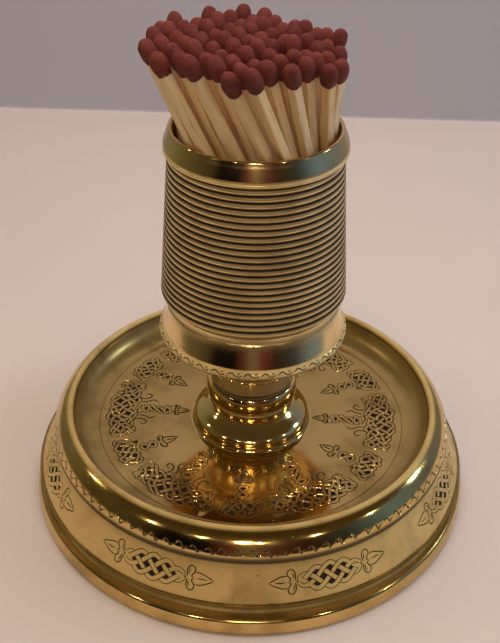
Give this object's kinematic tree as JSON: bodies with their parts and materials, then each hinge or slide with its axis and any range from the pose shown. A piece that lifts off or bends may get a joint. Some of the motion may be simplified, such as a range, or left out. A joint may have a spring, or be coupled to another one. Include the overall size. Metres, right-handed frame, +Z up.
{
  "type": "match striker",
  "caption": "Brass table match striker: ribbed cup full of wooden matches on a turned pedestal, set in a wide moulded dish with a sunken tray.",
  "frame": {"origin": "middle of the foot ring, on the table", "axes": "+Z up along the turning axis of dish, pedestal and cup; -Y towards the viewer of the picture"},
  "size_m": [0.1, 0.1, 0.1068],
  "materials": {
    "cast_brass": "polished cast brass, worn and hand engraved",
    "polished_brass": "polished turned brass",
    "turned_brass": "turned brass with ribs",
    "steel": "plain steel",
    "aspen": "raw sawn wood",
    "match_head": "matte dipped match composition"
  },
  "bodies": {
    "root": {"dish": "cast_brass", "pedestal": "polished_brass", "striker_cup": "turned_brass", "stud": "steel", "washer": "turned_brass", "nut": "turned_brass", "splints_inner": "aspen", "splints_middle": "aspen", "splints_outer": "aspen", "heads_inner": "match_head", "heads_middle": "match_head", "heads_outer": "match_head", "broken_splint": "aspen"}
  },
  "joints": []
}
